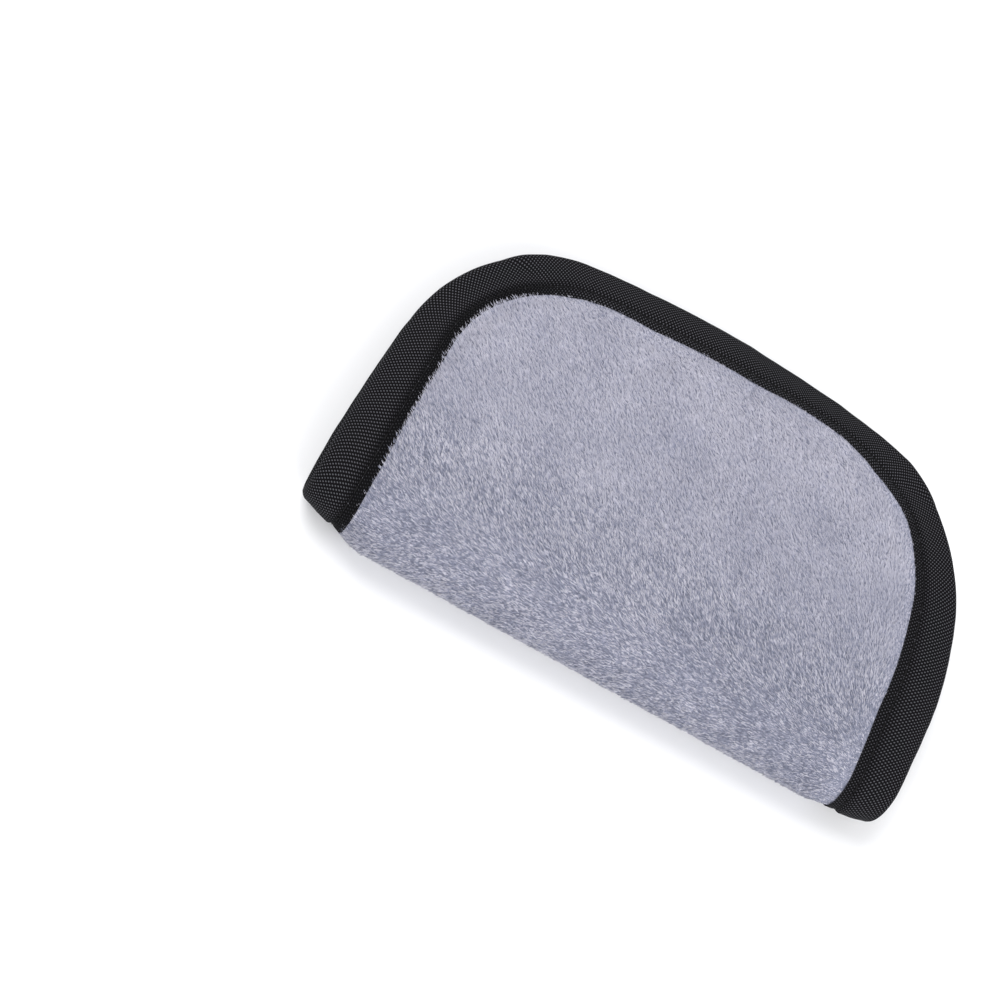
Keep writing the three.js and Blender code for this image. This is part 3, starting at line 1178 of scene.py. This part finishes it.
def loopStrip():
    bm = bmesh.new()
    fieldHeight = strips["height"] - strips["loopDrop"]
    stripBase(bm, fieldHeight)
    top = [f for f in bm.faces
           if f.normal.z > 0.9 and f.calc_center_median().z > fieldHeight - 0.05]
    edges = [e for f in top for e in f.edges]
    bmesh.ops.subdivide_edges(bm, edges=edges, cuts=1, use_grid_fill=True)
    return layStrip(bm, "loopStrip", -1)


hooks = hookStrip()
loops = loopStrip()
hookStitches = stripStitches("hookStripThread", 1)
loopStitches = stripStitches("loopStripThread", -1)
print("closing strips sewn")


def dress(thing, finish, slotName, *nodes):
    thing.data.materials.clear()
    thing.data.materials.append(finish.material)
    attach(thing, "root")
    if nodes:
        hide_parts(*nodes)


# Pile: painted shade makes it darkest at the roots, and each strand has a shade of its own on the
# pile's map
pileColours = {
    "byShade": 0.66,
    "paintedRootShade": 0.36,
    "stops": [(0.0, 88, 94, 112), (0.30, 138, 141, 159), (0.58, 182, 181, 195),
              (0.85, 206, 204, 213), (1.0, 220, 218, 225)],
}


def plushPileFinish():
    kit = Finish("plushPile")
    shade, up, _ = kit.parts(kit.pieceMap())
    # The share by height is painted shade, darkest down at the roots between the strands
    blend = shade * pileColours["byShade"] + up * pileColours["paintedRootShade"]
    kit.set(Base_Color=kit.ramp(blend, *pileColours["stops"]), Roughness=0.9 - 0.1 * up)
    kit.set(Specular_IOR_Level=0.15, Sheen_Weight=0.15, Sheen_Roughness=0.5)
    return kit


# Plain-woven threads from the tape's own map, with painted highlights on their tops; across the
# map the painted shade at the tape's inner edge goes from dark to light
paintedWeaveLight = {
    "paintedLipShade": [(0.0, 0.45), (0.06, 0.55), (0.11, 1.0), (1.0, 1.0)],
    "stops": [(0.0, 6, 6, 7), (0.30, 20, 20, 22), (0.70, 68, 68, 72), (1.0, 96, 96, 101)],
}


def bindingFinish():
    kit = Finish("bindingTape")
    across, up, _ = kit.parts(kit.pieceMap())
    warp = (across * (binding["paintedLipShadeStrips"] * math.tau)).sine()
    weft = (up * (binding["threadsAcross"] * math.pi)).sine()
    over = (warp * weft).largest(0.0)
    under = (warp * weft * -1.0).largest(0.0)
    longer = over * (weft.absolute() ** 0.1) / (warp.absolute() + 0.25)
    height = over ** 0.8 * 0.75 + longer * 0.25 + (under ** 0.7) * 0.20
    # Painted shade darkens the tape next to the plush, less on the lighter strips of the map
    paintedLipShadeStops = [(position, (level,) * 4) for position, level in paintedWeaveLight["paintedLipShade"]]
    paintedLipShade = kit.node("ShaderNodeValToRGB", {"ramp": paintedLipShadeStops}, {0: up})
    paintedLipShade = paintedLipShade * (1 - across) + across
    # The higher a thread, the lighter it is painted: painted highlights on the thread tops
    kit.set(Base_Color=kit.ramp(height * paintedLipShade, *paintedWeaveLight["stops"]))
    kit.set(Roughness=0.85 - 0.15 * height, Specular_IOR_Level=0.04)
    kit.bump(height, 0.8, 0.00015)
    return kit


# The other finishes have a fine grain between two colours, rough, and a little raised
grains = {
    # The plush backing's own colour is made darker than the pile's: painted shade of the valleys
    # between the strands
    "plushBacking": {"dark": (0.3, 108, 110, 126), "light": (0.7, 150, 152, 168),
                     "roughness": (0.95, 0.0), "specular": 0.1, "bump": (0.6, 0.0004)},
    "sewingThread": {"noise": (2500.0,), "dark": (0.3, 8, 8, 9), "light": (0.7, 26, 26, 28),
                     "roughness": (0.7, 0.2), "specular": 0.15, "bump": (0.4, 0.0001)},
    "liningKnit": {"dark": (0.1, 16, 16, 18), "light": (0.9, 46, 46, 50),
                   "roughness": (0.85, 0.0), "specular": 0.25, "bump": (0.5, 0.0001)},
    "foam": {"dark": (0.0, 150, 146, 130), "light": (0.6, 226, 222, 208),
             "roughness": (0.95, 0.0), "bump": (0.5, 0.0002)},
    "hookNylon": {"noise": (1500.0,), "dark": (0.3, 20, 20, 22), "light": (0.7, 44, 44, 48),
                  "roughness": (0.45, 0.15), "bump": (0.3, 0.0001)},
    "brushedLoops": {"noise": (1900.0, 4.0, 0.7), "dark": (0.3, 14, 14, 16),
                     "light": (0.7, 52, 52, 56), "roughness": (0.95, 0.0),
                     "bump": (0.9, 0.0004)},
}


def grained(kit, pattern, relief=None):
    grain = grains[kit.name]
    plain, added = grain["roughness"]
    kit.set(Base_Color=kit.ramp(pattern, grain["dark"], grain["light"]))
    kit.set(Specular_IOR_Level=grain.get("specular", 0.5))
    kit.set(Roughness=plain + added * pattern if added else plain)
    kit.bump(relief or pattern, *grain["bump"])
    return kit


def plushBackingFinish():
    kit = Finish("plushBacking")
    return grained(kit, kit.noise(900.0, 3.0) * 0.6 + kit.noise(90.0) * 0.4)


def liningFinish():
    kit = Finish("liningKnit")
    x, y, _ = kit.parts(kit.objectPlace())
    ribs = (x * 5200).sine() * (y * 5200).sine() * 0.5 + 0.5
    return grained(kit, ribs * 0.7 + kit.noise(120.0) * 0.3, ribs)


def foamFinish():
    kit = Finish("foam")
    sockets = {"Vector": kit.objectPlace(), "Scale": 1400.0}
    return grained(kit, kit.node("ShaderNodeTexVoronoi", {}, sockets))


# Thread, hooks and loops have plain noise as their grain
def noiseFinish(name):
    kit = Finish(name)
    return grained(kit, kit.noise(*grains[name]["noise"]))


dress(backing, plushBackingFinish(), "plush", "plush_cover")
pileFinish = plushPileFinish()
for piece in pilePieces:
    dress(piece, pileFinish, "plush")
dress(tape, bindingFinish(), "binding_tape", "edge_binding")
threadLook = noiseFinish("sewingThread")
dress(needleThread, threadLook, "sewing_thread", "binding_needle_thread")
dress(bobbinThread, threadLook, "sewing_thread", "binding_bobbin_thread")
dress(foam, foamFinish(), "foam", "foam_core")
dress(lining, liningFinish(), "lining", "inner_lining")
dress(hooks, noiseFinish("hookNylon"), "hook_tape", "hook_strip")
dress(loops, noiseFinish("brushedLoops"), "loop_tape", "loop_strip")
dress(hookStitches, threadLook, "sewing_thread", "hook_strip_thread")
dress(loopStitches, threadLook, "sewing_thread", "loop_strip_thread")
print("finishes given")

# Studio: a pale floor that keeps the shadow, a white surround and three soft lamps, each with
# its place, width and power
studio = {
    "floorWidth": 3.0,
    "floorColour": (0.92, 0.92, 0.93, 1.0),
    "surround": 0.60,
    "surroundColour": (0.97, 0.98, 1.0, 1.0),
    "white": (1.0, 1.0, 1.0, 1.0),
    "lamps": [
        ("keyLamp", (-0.45, 0.45, 0.95), 0.9, 9.5),
        ("fillLamp", (0.55, -0.65, 0.75), 0.9, 7.0),
        ("edgeLamp", (-0.20, -0.90, 0.40), 0.8, 2.5),
    ],
}


def addFloor():
    bm = bmesh.new()
    bmesh.ops.create_grid(bm, x_segments=1, y_segments=1, size=studio["floorWidth"] / 2)
    floor = addMesh(bm, "studioFloor", smooth=False)
    kit = Finish("studioFloor")
    kit.set(Base_Color=studio["floorColour"], Roughness=0.9, Specular_IOR_Level=0.1)
    floor.data.materials.append(kit.material)


# The surround lights the pad plainly, and is white wherever it is seen itself
def addSurround():
    world = bpy.data.worlds.new("studioSurround")
    scene.world = world
    world.use_nodes = True
    kit = Nodes(world.node_tree)
    plain = kit.tree.nodes["Background"]
    kit.feed(plain.inputs["Color"], studio["surroundColour"])
    kit.feed(plain.inputs["Strength"], studio["surround"])
    white = kit.node("ShaderNodeBackground", {}, {"Color": studio["white"], "Strength": 1.0})
    rays = kit.node("ShaderNodeLightPath", output="Is Camera Ray")
    seen = rays.largest(rays.sibling("Is Transmission Ray"))
    seen = seen.largest(rays.sibling("Is Glossy Ray"))
    sockets = {0: seen, 1: Value(kit, plain.outputs[0]), 2: white}
    blend = kit.node("ShaderNodeMixShader", {}, sockets)
    kit.feed(kit.tree.nodes["World Output"].inputs["Surface"], blend)


def addLamps():
    for name, spot, size, power in studio["lamps"]:
        data = bpy.data.lights.new(name, "AREA")
        data.shape = "DISK"
        data.size = size
        data.energy = power
        lamp = addObject(name, data)
        lamp.location = spot
        lamp.rotation_euler = (-Vector(spot)).to_track_quat("-Z", "Y").to_euler()


addFloor()
addSurround()
addLamps()
scene.view_settings.view_transform = "Standard"
print("studio lit")
